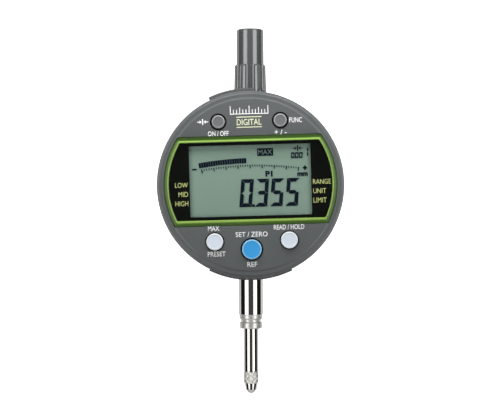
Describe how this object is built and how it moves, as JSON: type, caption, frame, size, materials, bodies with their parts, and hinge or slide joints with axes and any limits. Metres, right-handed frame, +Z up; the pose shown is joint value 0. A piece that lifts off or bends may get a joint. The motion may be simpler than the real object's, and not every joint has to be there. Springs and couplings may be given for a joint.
{
  "type": "dial indicator",
  "caption": "Digital dial indicator with a turning round display, coloured buttons, clamping stem, sliding spindle and dust cap.",
  "frame": {"origin": "on the stem's axis, halfway along its 8 mm clamping length", "axes": "+Z up along the stem and spindle, towards the dust cap; the dial faces -Y; +X to the right seen from the front"},
  "size_m": [0.061, 0.0267, 0.1226],
  "materials": {
    "case_plastic": "moulded dark grey, fine matt grain",
    "cover_plastic": "moulded dark grey, satin",
    "cap_plastic": "dark grey, semi-gloss",
    "grey_button": "grey, satin",
    "white_button": "off-white, satin",
    "blue_button": "bright blue, satin",
    "green_frame": "bright green, gloss",
    "clear_lens": "clear acrylic",
    "black_mask": "black print",
    "lcd_glass": "grey-green LCD",
    "white_plastic": "white, matt",
    "circuit_board": "green board",
    "rubber": "black, matt",
    "polished_steel": "ground and polished",
    "steel": "plain",
    "aluminium": "satin",
    "brass": "plain",
    "carbide": "polished",
    "glass": "clear"
  },
  "bodies": {
    "case": {"main_case": "case_plastic", "back_plate": "aluminium", "back_seal": "rubber", "back_screw_1": "steel", "back_screw_2": "steel", "back_screw_3": "steel", "back_screw_4": "steel", "battery": "polished_steel", "battery_contact_minus": "brass", "battery_contact_plus": "brass", "battery_lid": "case_plastic", "battery_lid_screw": "steel", "connector_cover": "case_plastic", "connector_cover_screw": "steel", "output_socket": "rubber", "stem": "polished_steel", "stem_bushing": "brass", "spindle_wiper": "rubber", "stop_bumper": "rubber", "upper_bushing": "brass", "encoder_board": "circuit_board", "encoder_detector": "glass", "encoder_screw_1": "steel", "encoder_screw_2": "steel", "guide_rail": "steel", "return_spring": "steel", "pivot_hub": "aluminium", "hub_nut": "steel", "display_seal": "rubber", "flex_cable": "brass"},
    "spindle": {"spindle": "polished_steel", "contact_point": "polished_steel", "contact_ball": "carbide", "carrier": "aluminium", "guide_pin": "polished_steel", "encoder_scale": "glass"},
    "cap": {"spindle_cap": "cap_plastic"},
    "display": {"front_cover": "cover_plastic", "window_frame": "green_frame", "display_mask": "black_mask", "lens": "clear_lens", "lcd_panel": "lcd_glass", "lcd_reflector": "white_plastic", "contact_strip_lower": "rubber", "contact_strip_upper": "rubber", "display_board": "circuit_board", "keypad_upper": "rubber", "keypad_lower": "rubber", "display_back": "case_plastic", "display_screw_1": "steel", "display_screw_2": "steel", "display_screw_3": "steel", "display_screw_4": "steel", "friction_washer": "steel"},
    "power_button": {"button_power": "grey_button"},
    "menu_button": {"button_menu": "grey_button"},
    "preset_button": {"button_preset": "white_button"},
    "hold_button": {"button_hold": "white_button"},
    "zero_button": {"button_zero": "blue_button"}
  },
  "joints": [
    {"name": "display_turn", "type": "hinge", "parent": "case", "child": "display", "pos_m": [0, 0, 0.0374], "axis": [0, 1, 0], "range_deg": [-90, 240]},
    {"name": "spindle_slide", "type": "slide", "parent": "case", "child": "spindle", "axis": [0, 0, 1], "range_m": [0, 0.0127], "stiffness_N_per_m": 39, "springref_m": -0.0256, "deforming": ["return_spring"]},
    {"name": "cap_lift", "type": "slide", "parent": "case", "child": "cap", "axis": [0, 0, 1], "range_m": [0, 0.022]},
    {"name": "power_press", "type": "slide", "parent": "display", "child": "power_button", "axis": [0, 1, 0], "range_m": [0, 0.0005], "stiffness_N_per_m": 2500, "springref_m": -0.0002},
    {"name": "menu_press", "type": "slide", "parent": "display", "child": "menu_button", "axis": [0, 1, 0], "range_m": [0, 0.0005], "stiffness_N_per_m": 2500, "springref_m": -0.0002},
    {"name": "preset_press", "type": "slide", "parent": "display", "child": "preset_button", "axis": [0, 1, 0], "range_m": [0, 0.0005], "stiffness_N_per_m": 2500, "springref_m": -0.0002},
    {"name": "hold_press", "type": "slide", "parent": "display", "child": "hold_button", "axis": [0, 1, 0], "range_m": [0, 0.0005], "stiffness_N_per_m": 2500, "springref_m": -0.0002},
    {"name": "zero_press", "type": "slide", "parent": "display", "child": "zero_button", "axis": [0, 1, 0], "range_m": [0, 0.0005], "stiffness_N_per_m": 2500, "springref_m": -0.0002}
  ]
}
